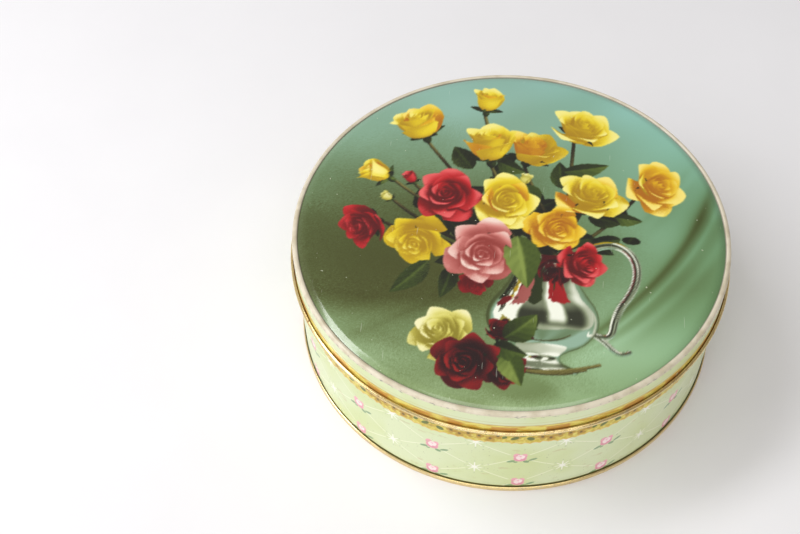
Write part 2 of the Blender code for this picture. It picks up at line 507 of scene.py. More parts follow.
def turned(name, path, materials, shape=None, curl_below=None):
    """A closed sheet-metal shell turned about Z.

    The first material is on the outer face, the second on the inner face, and the third
    on both below the height curl_below. shape, if given, moves the points: it takes
    radius, height, angle and whether each point is on the outer face, and returns the
    new radius and height.
    """
    outer, inner = sheet_sides(path)
    outline = np.concatenate([outer, inner[::-1]])
    is_outer = np.arange(len(outline)) < len(outer)
    angles = turn_angles(TURN_STEPS)
    radius, angle = np.meshgrid(outline[:, 0], angles)
    height = np.broadcast_to(outline[:, 1], radius.shape)
    if shape:
        radius, height = shape(radius, height, angle, np.broadcast_to(is_outer, radius.shape))
    radius = np.maximum(radius, 0)
    points = np.stack([radius * np.cos(angle), radius * np.sin(angle), height], 2) * MM

    rows, columns = radius.shape
    row = np.repeat(np.arange(rows), columns)
    column = np.tile(np.arange(columns), rows)
    next_row = (row + 1) % rows
    next_column = (column + 1) % columns
    faces = np.stack([row * columns + column, row * columns + next_column,
                      next_row * columns + next_column, next_row * columns + column], 1)
    piece = new_mesh(name, points.reshape(-1, 3), faces.tolist(), materials)
    face_material = np.where(column < len(outer), 0, 1)
    if curl_below:
        face_material[outline[column, 1] < curl_below] = 2
    piece.data.polygons.foreach_set("material_index", face_material)
    weld(piece)
    return piece


def turn_angles(steps):
    """Even steps around the tin, with closer ones across the side seam."""
    even = np.arange(steps) * 2 * math.pi / steps
    close = SIDE_SEAM_AT + np.linspace(-4, 4, 41) / WALL_R
    keep = np.abs(even - SIDE_SEAM_AT) > 4.3 / WALL_R
    return np.sort(np.concatenate([even[keep], close]))


def new_mesh(name, points, faces, materials):
    mesh = bpy.data.meshes.new(name)
    mesh.from_pydata(points.tolist(), [], faces)
    for material in materials:
        mesh.materials.append(material)
    mesh.shade_smooth()
    piece = bpy.data.objects.new(name, mesh)
    bpy.context.scene.collection.objects.link(piece)
    return piece


def weld(piece):
    """Joins points that fall together, as they do on the axis, and turns faces outwards."""
    shape = bmesh.new()
    shape.from_mesh(piece.data)
    bmesh.ops.remove_doubles(shape, verts=shape.verts, dist=0.001 * MM)
    bmesh.ops.recalc_face_normals(shape, faces=shape.faces)
    shape.to_mesh(piece.data)
    shape.free()
    piece.data.set_sharp_from_angle(angle=math.radians(50))


def shoulder_arc(pieces):
    """The lid's shoulder, from the crease to the top of the skirt."""
    centre = (SKIRT_R - SHOULDER_RADIUS, LID_HIGH.z - HALF_SHEET - SHOULDER_DROP)
    return arc(centre, SHOULDER_RADIUS, CREASE_ANGLE, 0, pieces)


def bevel_path(pieces):
    """The curve from the flat panel down to the crease, in the middle of the sheet."""
    level = LID_HIGH.z - HALF_SHEET
    crease = shoulder_arc(1)[0]
    drop = level - crease[1]
    turn = 2 * math.atan(drop / BEVEL_RUN)
    radius = BEVEL_RUN / math.sin(turn)
    centre = (crease[0] - BEVEL_RUN, level - radius)
    return arc(centre, radius, 90, 90 - math.degrees(turn), pieces)


def lid_path():
    level = LID_HIGH.z - HALF_SHEET
    bevel = bevel_path(10)
    flat = line((0, level), bevel[0], 6)
    shoulder = shoulder_arc(16)
    curl_centre = (SKIRT_R + CURL_RADIUS, LID_LOW.z + HALF_SHEET + CURL_RADIUS)
    curl = arc(curl_centre, CURL_RADIUS, 180, LID_CURL_END, 24)
    skirt = line(shoulder[-1], curl[0], 8)
    path = np.concatenate([flat[:-1], bevel[:-1], shoulder[:-1], skirt[:-1], curl])
    sunk = path[:, 0] < bevel[-1][0]
    path[sunk, 1] -= 2 * PRINT_SKIN
    return path


def wall_path():
    rim_centre = (WALL_R - CURL_RADIUS, WALL_HIGH.z - HALF_SHEET - CURL_RADIUS)
    rim = arc(rim_centre, CURL_RADIUS, 270, 0, 18)
    fold_radius = LAYER / 2
    fold_centre = (WALL_R + fold_radius, WALL_LOW.z + HALF_SHEET + fold_radius)
    fold = arc(fold_centre, fold_radius, 180, 360, 6)
    side = line(rim[-1], fold[0], 30)
    hook = line(fold[-1], (HOOK_R, HOOK_TOP), 1)
    return np.concatenate([rim[:-1], side[:-1], fold, hook[1:]])


def base_path():
    lip_centre = (SEAM_R - SEAM_LIP_RADIUS, SEAM_TOP - HALF_SHEET - SEAM_LIP_RADIUS)
    lip = arc(lip_centre, SEAM_LIP_RADIUS, 90, 0, 6)
    corner = HALF_SHEET + SEAM_CORNER_RADIUS
    outer = arc((SEAM_R - SEAM_CORNER_RADIUS, corner), SEAM_CORNER_RADIUS, 0, -90, 5)
    inner = arc((CHUCK_R + SEAM_CORNER_RADIUS, corner), SEAM_CORNER_RADIUS, -90, -180, 5)
    recess_centre = (CHUCK_R - BASE_CORNER_RADIUS, BASE_LEVEL - BASE_CORNER_RADIUS)
    recess = arc(recess_centre, BASE_CORNER_RADIUS, 0, 90, 6)
    step = np.array([(104.0, BASE_LEVEL), (103.7, 3.25), (102.8, 4.0), (102.5, BASE_PANEL_LEVEL)])
    panel = line((101.0, BASE_PANEL_LEVEL), (0, BASE_PANEL_LEVEL), 6)
    return np.concatenate([lip, outer, inner, recess, step, panel])


def shape_wall(radius, height, angle, is_outer):
    """The side seam at the back and the slight waves of rolled sheet."""
    arc_mm = (angle - SIDE_SEAM_AT) * WALL_R
    on_side = (height > SEAM_STRIP_BOTTOM) & (height < SEAM_STRIP_TOP)
    on_side = on_side & (np.abs(radius - WALL_R) < LAYER)
    strip = np.clip((SEAM_STRIP_EDGE - np.abs(arc_mm)) / 0.2, 0, 1)
    groove = np.exp(-((arc_mm - SEAM_GROOVE) / 0.3) ** 2)
    radius = radius - np.where(on_side & ~is_outer, strip * 0.45, 0)
    radius = radius - np.where(on_side & is_outer, groove * 0.12, 0)
    fade = np.clip((height - 5) / 10, 0, 1) * np.clip((68 - height) / 10, 0, 1)
    wave = 0.05 * np.sin(7 * angle + height / 9) + 0.04 * np.sin(11 * angle - height / 14)
    return radius + wave * fade, height


# ---- the picture
PICTURE_GRID = 384
PICTURE_SAMPLES = 8
SAMPLE_SPREAD = 1.3  # In cells of the grid.
SAMPLE_STEPS = (0.7549, 0.5698)  # Multiples of these fill a square evenly.


# ---- the still life
# A generic bunch of roses in a plain silver jug, built as small meshes and then lit and
# looked at from the front. Its lengths are in panel radii: right, up and towards the
# viewer.
PETALS = 20
PETAL_TURN = math.radians(137.5)
ODD_PETALS = 0.22

CLOTH, YELLOW, AMBER, PALE, RED, WINE, PINK, LEAF, STEM, SILVER = range(10)

# How far the cloth's red, green and blue rise towards the top and to the right.
CLOTH_COOLING = np.array((-0.04, 0.02, 0.15))
CLOTH_GREENING = np.array((-0.07, 0.03, 0.02))

# The cloth's slanting folds: place, slant, bow, width, height, and where each ends.
FOLDS = (
    (0.89, 0.48, -0.45, 0.055, 0.10, -0.85, 0.45),
    (0.62, 0.62, 0.00, 0.045, 0.03, -0.10, 0.55),
    (1.12, 0.55, -0.30, 0.090, 0.03, -0.80, 0.10),
    (0.55, 1.60, 0.00, 0.110, 0.03, -1.10, -0.25),
)

# Print inks in shadow, in middle tone and in light, as display red, green and blue.
INKS = (
    ((0.26, 0.28, 0.10), (0.45, 0.56, 0.40), (0.65, 0.79, 0.69)),
    ((0.68, 0.52, 0.03), (0.93, 0.82, 0.10), (0.99, 0.95, 0.56)),
    ((0.70, 0.42, 0.02), (0.92, 0.73, 0.06), (1.00, 0.92, 0.50)),
    ((0.56, 0.51, 0.14), (0.88, 0.85, 0.42), (0.98, 0.96, 0.76)),
    ((0.34, 0.00, 0.03), (0.74, 0.07, 0.10), (0.93, 0.40, 0.40)),
    ((0.12, 0.00, 0.02), (0.38, 0.01, 0.05), (0.62, 0.10, 0.09)),
    ((0.58, 0.22, 0.20), (0.86, 0.54, 0.51), (0.98, 0.88, 0.83)),
    ((0.04, 0.05, 0.01), (0.23, 0.30, 0.08), (0.53, 0.60, 0.28)),
    ((0.08, 0.06, 0.02), (0.30, 0.27, 0.10), (0.58, 0.55, 0.30)),
    ((0.08, 0.09, 0.04), (0.56, 0.60, 0.48), (0.98, 0.99, 0.93)),
)

# A rose's odd outer petals take a second ink.
SECOND_INK = {YELLOW: AMBER, AMBER: YELLOW}

# Each rose: ink, place, size, the way it faces and how open it is, from 0 to 1.
ROSES = (
    (YELLOW, (-0.49, 0.63, 0.10), 0.240, (-0.35, 0.80, 0.40), 0.30),
    (YELLOW, (-0.15, 0.82, 0.02), 0.180, (0.10, 0.90, 0.35), 0.10),
    (YELLOW, (-0.13, 0.52, 0.22), 0.260, (-0.12, 0.88, 0.42), 0.22),
    (AMBER, (0.09, 0.50, 0.06), 0.230, (0.25, 0.80, 0.50), 0.35),
    (YELLOW, (0.33, 0.66, 0.10), 0.230, (0.30, 0.70, 0.60), 0.60),
    (AMBER, (0.69, 0.30, 0.14), 0.205, (0.55, 0.15, 0.80), 0.80),
    (YELLOW, (0.38, 0.22, 0.22), 0.220, (0.25, 0.55, 0.75), 0.65),
    (AMBER, (0.22, 0.00, 0.30), 0.180, (0.30, -0.25, 0.90), 0.75),
    (YELLOW, (-0.03, 0.15, 0.36), 0.210, (0.25, 0.10, 0.92), 0.70),
    (YELLOW, (-0.68, 0.28, 0.12), 0.175, (-0.88, 0.40, 0.20), 0.05),
    (YELLOW, (-0.43, -0.13, 0.22), 0.200, (-0.25, -0.50, 0.80), 0.75),
    (RED, (-0.31, 0.17, 0.38), 0.200, (-0.15, 0.20, 0.95), 0.85),
    (RED, (-0.69, -0.06, 0.18), 0.190, (-0.65, -0.30, 0.65), 0.45),
    (RED, (0.35, -0.20, 0.44), 0.160, (0.55, -0.10, 0.75), 0.65),
    (WINE, (0.20, -0.26, 0.34), 0.140, (-0.10, -0.40, 0.90), 0.70),
    (PINK, (-0.12, -0.17, 0.48), 0.230, (0.05, -0.25, 0.95), 0.90),
    (RED, (-0.14, -0.35, 0.30), 0.110, (0.00, -0.60, 0.80), 0.60),
    (PALE, (-0.27, -0.63, 0.42), 0.190, (-0.35, 0.35, 0.80), 0.70),
    (WINE, (0.03, -0.80, 0.50), 0.140, (0.60, -0.30, 0.70), 0.60),
    (WINE, (-0.15, -0.77, 0.60), 0.190, (-0.20, -0.20, 0.95), 0.80),
    (WINE, (-0.01, -0.60, 0.40), 0.110, (0.30, 0.40, 0.80), 0.30),
    (RED, (-0.50, 0.26, 0.10), 0.090, (-0.50, 0.70, 0.40), 0.0),
    (PALE, (-0.60, 0.13, 0.08), 0.070, (-0.75, 0.50, 0.30), 0.0),
    (PALE, (0.06, 0.30, 0.12), 0.080, (0.20, 0.85, 0.40), 0.0),
)

JUG_FOOT = np.array((0.175, -0.80, 0.20))
JUG_MOUTH_HEIGHT = 0.62
JUG_PROFILE = (
    (0.000, 0.160), (0.014, 0.163), (0.028, 0.148), (0.050, 0.100), (0.075, 0.082),
    (0.100, 0.100), (0.150, 0.185), (0.220, 0.238), (0.290, 0.250), (0.360, 0.232),
    (0.430, 0.188), (0.500, 0.152), (0.560, 0.145), (0.620, 0.162), (0.640, 0.176),
)

# Leaves given one by one: where the stalk ends, where the tip is, and half the width.
LEAVES = (
    ((0.04, -0.06, 0.42), (0.10, -0.36, 0.52), 0.085),
    ((0.01, -0.64, 0.48), (0.15, -0.50, 0.50), 0.070),
    ((-0.03, -0.68, 0.58), (0.12, -0.72, 0.64), 0.055),
    ((0.02, -0.72, 0.60), (0.10, -0.88, 0.66), 0.060),
    ((-0.36, -0.24, 0.24), (-0.52, -0.44, 0.24), 0.055),
    ((-0.25, -0.26, 0.30), (-0.29, -0.45, 0.32), 0.045),
    ((0.24, 0.36, 0.10), (0.46, 0.42, 0.10), 0.050),
    ((0.46, 0.10, 0.12), (0.62, 0.08, 0.10), 0.040),
    ((-0.20, 0.34, 0.14), (-0.30, 0.48, 0.12), 0.060),
    ((0.06, 0.26, 0.20), (0.12, 0.10, 0.24), 0.060),
    ((-0.08, 0.40, 0.14), (0.06, 0.34, 0.18), 0.050),
)
LOOSE_LEAVES = 40

LAMP = np.array((0.50, 0.62, 0.76))
LAMP = LAMP / np.linalg.norm(LAMP)
LAMP_ACROSS = np.array((LAMP[1], -LAMP[0], 0.0)) / np.hypot(LAMP[0], LAMP[1])
LAMP_ABOVE = np.cross(LAMP, LAMP_ACROSS)
LAMP_SPREAD = 0.28
SKY_RAYS = 4
GOLDEN_TURN = math.pi * (3 - math.sqrt(5))


def smooth(low, high, value):
    """0 at low, 1 at high, and smooth between them. low may be above high."""
    t = np.clip((value - low) / (high - low), 0, 1)
    return t * t * (3 - 2 * t)


def unit(vectors):
    return vectors / (np.linalg.norm(vectors, axis=-1, keepdims=True) + 1e-12)


class StillLife:
    """Surfaces with an ink and a change of tone at each point, joined for ray casting."""

    def __init__(self):
        self.points = []
        self.triangles = []
        self.inks = []
        self.tones = []
        self.count = 0

    def add(self, grid, ink, tone=0.0):
        rows, columns = grid.shape[:2]
        index = self.count + np.arange(rows * columns).reshape(rows, columns)
        corner = index[:-1, :-1].ravel()
        lower = np.stack([corner, corner + 1, corner + columns + 1], 1)
        upper = np.stack([corner, corner + columns + 1, corner + columns], 1)
        self.triangles += [lower, upper]
        self.points.append(grid.reshape(-1, 3))
        self.inks.append(np.full(rows * columns, ink))
        self.tones.append(np.broadcast_to(tone, (rows, columns)).ravel())
        self.count += rows * columns

    def finish(self):
        for name in ("points", "triangles", "inks", "tones"):
            setattr(self, name, np.concatenate(getattr(self, name)))
        a, b, c = (self.points[self.triangles[:, corner]] for corner in range(3))
        face_normals = np.cross(b - a, c - a)
        self.normals = np.zeros_like(self.points)
        for corner in range(3):
            np.add.at(self.normals, self.triangles[:, corner], face_normals)
        self.normals = unit(self.normals)
        self.tree = BVHTree.FromPolygons(self.points.tolist(), self.triangles.tolist())

    def cast(self, starts, directions, reach):
        """The face that each ray meets first, or -1, and the place where it does."""
        find = self.tree.ray_cast
        rays = zip(starts.tolist(), directions.tolist())
        hits = [find(start, direction, reach) for start, direction in rays]
        faces = np.array([-1 if hit[2] is None else hit[2] for hit in hits])
        places = np.array([(0, 0, 0) if hit[0] is None else tuple(hit[0]) for hit in hits], float)
        return faces, places

    def read(self, faces, places, values):
        """The values at the triangles' corners, blended at places on the faces."""
        corners = self.triangles[faces]
        a, b, c = (self.points[corners[:, corner]] for corner in range(3))
        whole = np.cross(b - a, c - a)
        area = (whole * whole).sum(1) + 1e-20
        to_b = (np.cross(places - a, c - a) * whole).sum(1) / area
        to_c = (np.cross(b - a, places - a) * whole).sum(1) / area
        weights = np.stack([1 - to_b - to_c, to_b, to_c], 1)
        at = values[corners]
        if at.ndim == 3:
            weights = weights[:, :, None]
        return (at * weights).sum(1)


# ---- the things in it
def petal(order, opened):
    """A rose petal as radius, angle and height about the rose's axis, for a rose one unit
    tall. order runs from 0 at the heart to 1 outside, and opened from a bud to a full rose.
    """
    across = np.linspace(-1, 1, 15)[None, :]
    point = 0.08 * (1 - np.abs(across)) ** 1.3 + 0.03 * np.sin(4 * across + 9 * order)
    along = np.linspace(0, 1, 15)[:, None] * (0.90 - 0.20 * across**2 + point)

    # The petal's midline leaves the axis at a slant, stands up as a cup and rolls back.
    fine = np.linspace(0, 1.05, 60)
    belly = math.radians(44 + 18 * opened + 16 * order)
    lean = math.radians(-14 + (20 + 62 * opened) * order**1.3)
    rolled = math.radians(10 + order * (34 + 52 * opened))
    tilt = belly * (1 - smooth(0.0, 0.5, fine)) + lean + rolled * smooth(0.62, 1.05, fine) ** 1.2
    reach = (0.60 + 0.42 * order**0.7) * (fine[1] - fine[0])
    radius = np.interp(along, fine, np.cumsum(np.sin(tilt)) * reach)
    height = np.interp(along, fine, np.cumsum(np.cos(tilt)) * reach)
    tilt = np.interp(along, fine, tilt)

    width = (0.34 + 0.26 * order) * np.sqrt(along) * (1 - 0.25 * along**4)
    angle = np.clip(across * width / np.maximum(radius, 0.015), -2.7, 2.7)
    edge = 0.10 * (0.2 + order) * across**4 * along**2
    wave = 0.02 * np.sin(6 * across + 11 * order) * along**2
    radius = np.maximum(radius, 0.015) * (1 + 0.16 * across) + edge * np.cos(tilt) + wave
    tone = 0.30 * (along - 0.6) + 0.05 * np.sin(5 * across + 20 * order) * along
    return radius, angle, height - 0.8 * edge * np.sin(tilt), tone


def add_rose(still, rng, ink, place, size, facing, opened):
    """A rose with its sepals and hip. Returns where its stem starts."""
    turn = np.array(Vector(facing).to_track_quat("Z", "Y").to_matrix())
    ahead = turn[:, 2]
    base = np.array(place) - (0.50 - 0.20 * opened) * size * ahead
    spin = rng.uniform(0, 2 * math.pi)
    for number in range(PETALS):
        radius, angle, height, tone = petal(number / (PETALS - 1), opened)
        angle = angle + spin + number * PETAL_TURN + rng.uniform(-0.15, 0.15)
        height = height * rng.uniform(0.94, 1.04)
        grid = np.stack([radius * np.sin(angle), radius * np.cos(angle), height], 2)
        is_odd = rng.uniform() < ODD_PETALS and number > PETALS // 2
        petal_ink = SECOND_INK.get(ink, ink) if is_odd else ink
        still.add(grid @ turn.T * size + base, petal_ink, tone + rng.uniform(-0.08, 0.08))
    for number in range(5):
        angle = 2 * math.pi * number / 5 + spin
        out = turn[:, 0] * math.cos(angle) + turn[:, 1] * math.sin(angle)
        tip = base + size * (0.50 * out + 0.12 * ahead)
        add_leaf(still, base - 0.05 * size * ahead, tip, 0.08 * size, -0.12 * size)
    hip = base - 0.24 * size * ahead
    thickness = np.array((0.04, 0.09, 0.10, 0.08, 0.04)) * size
    add_tube(still, np.linspace(base, hip, 5), thickness, LEAF)
    return hip


def add_leaf(still, base, tip, width, bend, tone=0.0):
    """A pointed oval, folded up along its midrib and bent along its length."""
    base = np.array(base)
    axis = np.array(tip) - base
    side = unit(np.cross(axis, (0.15, -0.35, 1.0)))
    face = unit(np.cross(side, axis))
    along = np.linspace(0, 1, 17)[:, None, None]
    across = np.linspace(-1, 1, 11)[None, :, None]
    half = width * np.sin(math.pi * along**0.8) ** 0.9 * (1 + 0.05 * np.sin(60 * along))
    lift = 0.35 * np.abs(across) * half + bend * 4 * along * (1 - along)
    grid = base + axis * along + side * across * half + face * lift
    veins = 0.05 * np.cos(9 * across - 34 * along * np.sign(across))
    rib = 0.20 * np.exp(-((across / 0.14) ** 2))
    still.add(grid, LEAF, (tone + veins + rib)[:, :, 0])


def bezier(points, count):
    """Points along the Bezier curve with these control points."""
    t = np.linspace(0, 1, count)[:, None]
    points = [np.array(point, float) for point in points]
    while len(points) > 1:
        points = [(1 - t) * start + t * end for start, end in zip(points, points[1:])]
    return points[0]


def add_tube(still, path, radius, ink, sides=10):
    along = unit(np.gradient(path, axis=0))
    side = unit(np.cross(along, (0.1, 0.2, 1.0)))
    other = np.cross(along, side)
    angle = np.linspace(0, 2 * math.pi, sides + 1)[None, :, None]
    ring = side[:, None] * np.cos(angle) + other[:, None] * np.sin(angle)
    radius = np.broadcast_to(radius, len(path))[:, None, None]
    still.add(path[:, None] + ring * radius, ink)


def through(values, count):
    """A smooth curve through the values, at evenly spaced places along them."""
    values = np.array(values)
    slopes = np.gradient(values, axis=0)
    where = np.linspace(0, len(values) - 1, count)
    index = np.minimum(where.astype(int), len(values) - 2)
    t = (where - index)[:, None]
    return ((2 * t**3 - 3 * t**2 + 1) * values[index] + (t**3 - 2 * t**2 + t) * slopes[index]
            + (3 * t**2 - 2 * t**3) * values[index + 1] + (t**3 - t**2) * slopes[index + 1])


def add_jug(still):
    """A pear-shaped silver jug with a plain ear-shaped handle."""
    profile = through(JUG_PROFILE, 100)
    angle = np.linspace(0, 2 * math.pi, 97)
    ring = np.stack([np.sin(angle), np.zeros(97), np.cos(angle)], 1)
    level = profile[:, :1, None] * np.array((0, 1, 0))
    still.add(JUG_FOOT + ring[None] * profile[:, 1:, None] + level, SILVER)

    upper = bezier([(0.12, 0.60, 0), (0.30, 0.86, 0), (0.52, 0.66, 0), (0.36, 0.40, 0)], 100)
    lower = bezier([(0.36, 0.40, 0), (0.27, 0.25, 0), (0.36, 0.17, 0), (0.20, 0.22, 0)], 60)
    path = JUG_FOOT + np.concatenate([upper, lower[1:]])
    add_tube(still, path, np.linspace(0.027, 0.016, len(path)), SILVER, 48)
    scroll = bezier([(0.20, 0.22, 0), (0.30, 0.20, 0), (0.31, 0.08, 0), (0.39, 0.14, 0)], 60)
    add_tube(still, JUG_FOOT + scroll, np.linspace(0.016, 0.011, 60), SILVER, 36)


def fold_lines(u, v):
    """For each fold: how far right of its line a place is in fold widths, and its height."""
    for place, slant, bow, width, height, low, high in FOLDS:
        reach = smooth(low, low + 0.35, v) * smooth(high, high - 0.35, v)
        yield (u - place - slant * v - bow * v**2) / width, height * reach


def add_cloth(still):
    """A hanging cloth with slanting folds on the right, which comes forward as a table."""
    u = np.linspace(-1.3, 1.3, 220)[None, :]
    v = np.linspace(-1.3, 1.3, 220)[:, None]
    depth = -0.50 + 1.6 * np.clip(-0.30 - v, 0, None) ** 2 + 0 * u
    for off, height in fold_lines(u, v):
        depth = depth + height * np.exp(-(off**2))
    depth = depth + 0.010 * np.sin(9 * u + 4 * v) * np.sin(5 * v - 3 * u)
    depth = depth + 0.008 * np.sin(6 * u - 17 * v) * smooth(-0.4, -0.8, v)
    grid = np.stack(np.broadcast_arrays(u, v, depth), 2)
    still.add(grid[::-1], CLOTH)


def still_life():
    """The cloth, the jug, the roses with their stems and leaves, and the cut twigs."""
    rng = np.random.default_rng(11)
    still = StillLife()
    add_cloth(still)
    add_jug(still)
    mouth = JUG_FOOT + (0, JUG_MOUTH_HEIGHT, 0)
    for ink, place, size, facing, opened in ROSES:
        hip = add_rose(still, rng, ink, place, size, facing, opened)
        if place[1] > -0.45:
            sink = mouth + rng.normal(size=3) * (0.07, 0.02, 0.07)
            bow = (hip + sink) / 2 - (0, 0.12, 0) + 0.04 * rng.normal(size=3)
            add_tube(still, bezier([hip, bow, sink], 18), 0.009, STEM, 8)
    for base, tip, width in LEAVES:
        add_leaf(still, base, tip, width, 0.02)
    for _ in range(LOOSE_LEAVES):
        angle = rng.uniform(0.1, math.pi)
        far = rng.uniform(0.10, 0.50)
        base = mouth + (far * math.cos(angle) * 1.2 - 0.12, far * math.sin(angle), 0)
        base[2] = rng.uniform(0.0, 0.14)
        way = unit(rng.normal(size=3) * (1, 1, 0.4))
        add_leaf(still, base, base + way * rng.uniform(0.12, 0.20), rng.uniform(0.035, 0.055),
                 rng.uniform(-0.03, 0.03), rng.uniform(-0.20, 0.05))
    for lift, reach in ((0.00, 0.30), (0.02, 0.36), (0.05, 0.42)):
        start = JUG_FOOT + (-0.16, 0.01, 0.20)
        twig = bezier([start, start + (0.2, -0.03, 0.02), start + (reach, lift, 0)], 16)
        add_tube(still, twig, 0.008, STEM, 8)
    still.finish()
    return still


# ---- lighting and inking it
def ink_colours(inks, tones):
    """The print's colour for each ink and tone from 0, shadow, to 1, light."""
    dark, middle, light = np.moveaxis(np.array(INKS)[inks], 1, 0)
    tones = np.clip(tones, 0, 1)[:, None]
    lower = dark + (middle - dark) * np.clip(2 * tones, 0, 1)
    return lower + (light - middle) * np.clip(2 * tones - 1, 0, 1)


def room(directions):
    """How bright the studio is in each direction that polished silver reflects."""
    right, up, front = directions.T
    turn = np.degrees(np.arctan2(right, front))
    card = smooth(-48, -60, turn) * smooth(-150, -120, turn)
    window = smooth(4, 20, turn) * smooth(58, 42, turn) * smooth(-0.40, 0.10, up)
    edge = smooth(85, 120, turn) * smooth(180, 140, turn)
    table = smooth(-0.10, -0.60, up) * (0.80 + 0.20 * np.cos(np.radians(5 * turn)) * up)
    above = smooth(0.35, 0.75, up)
    return 0.10 + 0.95 * card + 0.90 * window + 0.60 * edge + 0.65 * table + 0.30 * above


def cloth_tone(u, v, key, sky):
    """The cloth's tone: lit from above, and falling off to the lower left."""
    fall = 0.28 * smooth(0.1, 0.9, v) + 0.28 * smooth(-0.42, -0.72, v)
    fall = fall + 0.10 * smooth(-0.2, 0.5, u) * smooth(0.1, -0.5, v)
    fall = fall + 0.08 * smooth(0.3, 0.6, u) * smooth(-0.8, -0.5, v)
    fall = fall - 0.22 * smooth(0.25, 0.90, u - 0.8 * v - 0.45)
    gloom = np.exp(-(((u + 0.62) / 0.55) ** 2) - ((v + 0.24) / 0.36) ** 2)
    gloom = gloom * smooth(-0.60, -0.44, v + 0.05 * np.sin(6 * u))
    shadow = np.exp(-(((u + 0.50) / 0.13) ** 2) - ((v + 0.70) / 0.06) ** 2)
    crumple = 0.04 * np.sin(7 * u + 3 * np.sin(4 * v)) * np.sin(6 * v - 2 * u)
    hollow = 0.0
    for off, height in fold_lines(u, v):
        crease = 1.5 * np.exp(-((off + 1) ** 2)) + 1.8 * np.exp(-((3 * off + 3) ** 2))
        hollow = hollow + crease * height
    tone = 0.06 + 0.46 * key + 0.20 * sky + fall + crumple
    return tone - 0.42 * gloom - 0.15 * shadow - hollow


def spiral(index, count, turns):
    """Directions spread evenly over a sphere, turned about Z by an angle at each point."""
    height = 1 - 2 * (index + 0.5) / count
    angle = index * GOLDEN_TURN + turns
    flat = math.sqrt(1 - height * height)
    return np.stack([flat * np.cos(angle), flat * np.sin(angle), np.full(len(turns), height)], 1)


def silver_colours(still, starts, normals):
    """What the jug mirrors: the studio, the cloth and the flowers beside it."""
    ahead = 2 * normals[:, 2:] * normals - (0, 0, 1)
    faces, _ = still.cast(starts, ahead, 4)
    seen = np.clip(room(ahead), 0, 1)
    inks = np.where(faces < 0, SILVER, still.inks[still.triangles[faces, 0]])
    flower = (inks != SILVER) & (inks != CLOTH)
    tones = np.where(flower, 0.35 + 0.3 * normals[:, 0], seen)
    return ink_colours(inks, tones) * np.where(inks == SILVER, 1, 0.9)[:, None]


def light_on(still, starts, normals, turns, index, samples):
    """Whether the lamp reaches each place, and how much of the sky does."""
    off = LAMP_SPREAD * math.sqrt((index + 0.5) / samples)
    angle = index * GOLDEN_TURN + turns
    aside = LAMP_ACROSS * np.cos(angle)[:, None] + LAMP_ABOVE * np.sin(angle)[:, None]
    lit = still.cast(starts, unit(LAMP + off * aside), 3)[0] < 0
    sky = np.zeros(len(starts))
    for ray in range(SKY_RAYS):
        stray = spiral(index + ray * samples, samples * SKY_RAYS, turns)
        stray = unit(normals + 0.95 * stray)
        sky += (still.cast(starts, stray, 0.4)[0] < 0) / SKY_RAYS
    return lit, sky * (0.5 + 0.3 * normals[:, 1] + 0.2 * normals[:, 2])


def petal_and_leaf_tone(inks, facing, key, sky, shine):
    """Tones where light shows through petals and glints on leaves."""
    petal = (inks >= YELLOW) & (inks <= PINK)
    glow = np.where(petal, 0.25, 0.0) * np.clip(-facing, 0, 1)
    gloss = np.where(inks == LEAF, 0.25, np.where(petal, 0.10, 0.0))
    strength = np.where(inks == LEAF, 0.72, 1.0)
    return strength * (0.68 * key + 0.52 * sky - 0.06) + glow + shine * gloss


def colours(still, u, v, turns, index, samples):
    """The picture's colour at each place, seen from straight in front.

    index is the number of this sample out of samples. turns is a random angle for each
    place, which spreads the samples' rays differently there.
    """
    count = len(u)
    eyes = np.stack([u, v, np.full(count, 4.0)], 1)
    faces, places = still.cast(eyes, np.broadcast_to((0.0, 0.0, -1.0), (count, 3)), 10)
    normals = unit(still.read(faces, places, still.normals))
    normals *= np.where(normals[:, 2:] < 0, -1, 1)
    inks = still.inks[still.triangles[faces, 0]]
    starts = places + normals * 0.004

    lit, sky = light_on(still, starts, normals, turns, index, samples)
    facing = normals @ LAMP
    wrap = np.where((inks >= YELLOW) & (inks <= PINK), 0.45, 0.15)
    key = np.clip((facing + wrap) / (1 + wrap), 0, 1) * lit
    shine = np.clip(normals @ unit(LAMP + (0, 0, 1)), 0, 1) ** 24 * lit
    tones = petal_and_leaf_tone(inks, facing, key, sky, shine)
    tones = tones + still.read(faces, places, still.tones)
    tones = np.where(inks == CLOTH, cloth_tone(u, v, key, sky), tones)
    result = ink_colours(inks, tones)
    change = v[:, None] * CLOTH_COOLING + np.maximum(u, 0)[:, None] * CLOTH_GREENING
    result *= 1 + np.where(inks == CLOTH, 1, 0)[:, None] * change
    silver = inks == SILVER
    if silver.any():
        result[silver] = silver_colours(still, starts[silver], normals[silver])
    return result


# ---- printing it on the lid


def disc_places(count):
    """A square grid bent into a disc of radius 1, with cells of nearly equal size."""
    side = np.linspace(-1, 1, count + 1)
    a, b = (grid.ravel() for grid in np.meshgrid(side, side))
    wide = np.abs(a) > np.abs(b)
    far = np.where(wide, a, b)
    safe = np.where(far == 0, 1, far)
    ratio = np.where(wide, b, a) / safe
    angle = np.where(wide, math.pi / 4 * ratio, math.pi / 2 - math.pi / 4 * ratio)
    return far * np.cos(angle), far * np.sin(angle)


def picture_height(radius):
    """Height of the print's face above the base at each radius, in millimetres."""
    bevel = bevel_path(24)
    level = np.interp(radius, bevel[:, 0], bevel[:, 1])
    return level + HALF_SHEET


